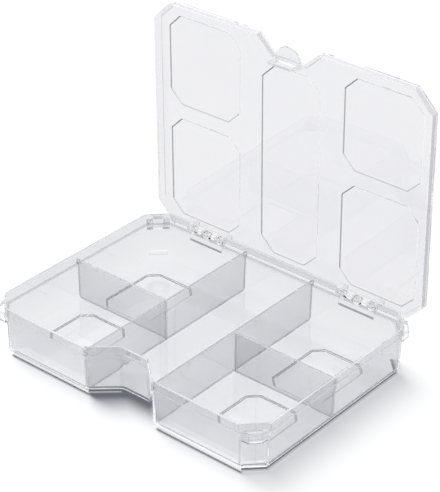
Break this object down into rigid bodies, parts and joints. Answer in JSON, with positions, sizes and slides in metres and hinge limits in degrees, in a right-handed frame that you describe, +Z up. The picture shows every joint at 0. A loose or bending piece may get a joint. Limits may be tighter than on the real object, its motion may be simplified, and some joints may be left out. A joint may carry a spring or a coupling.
{
  "type": "compartment storage box",
  "caption": "Clear plastic storage box with a divided tray, cut corners, a front notch and a hinged lid with a snap latch tab.",
  "frame": {"origin": "centre of the tray's flat base, on the surface it stands on", "axes": "+X to the right seen from the front, +Y from the notched front to the hinges, +Z up"},
  "size_m": [0.2018, 0.1563, 0.1754],
  "materials": {
    "clear_tray": "clear gloss",
    "clear_lid": "clear gloss"
  },
  "bodies": {
    "tray": {"tray_shell": "clear_tray", "long_divider_left": "clear_tray", "cross_divider_left": "clear_tray", "corner_lug_front_left": "clear_tray", "corner_lug_back_left": "clear_tray", "hinge_knuckle_left_1": "clear_tray", "hinge_knuckle_left_2": "clear_tray", "hinge_knuckle_left_3": "clear_tray", "long_divider_right": "clear_tray", "cross_divider_right": "clear_tray", "corner_lug_front_right": "clear_tray", "corner_lug_back_right": "clear_tray", "hinge_knuckle_right_1": "clear_tray", "hinge_knuckle_right_2": "clear_tray", "hinge_knuckle_right_3": "clear_tray", "latch_catch": "clear_tray"},
    "lid": {"lid_shell": "clear_lid", "hinge_ear_left_1": "clear_lid", "hinge_ear_left_2": "clear_lid", "hinge_pin_left": "clear_lid", "hinge_ear_right_1": "clear_lid", "hinge_ear_right_2": "clear_lid", "hinge_pin_right": "clear_lid"},
    "latch": {"latch_flap": "clear_lid", "finger_tab": "clear_lid"}
  },
  "joints": [
    {"name": "lid_hinge", "type": "hinge", "parent": "tray", "child": "lid", "pos_m": [0, 0.0722, 0.0286], "axis": [1, 0, 0], "range_deg": [0, 88.8]},
    {"name": "latch_flex", "type": "hinge", "parent": "lid", "child": "latch", "pos_m": [0, 0.07851, 0.16181], "axis": [-1, 0, 0], "range_deg": [-5, 12], "stiffness_Nm_per_rad": 0.05}
  ]
}
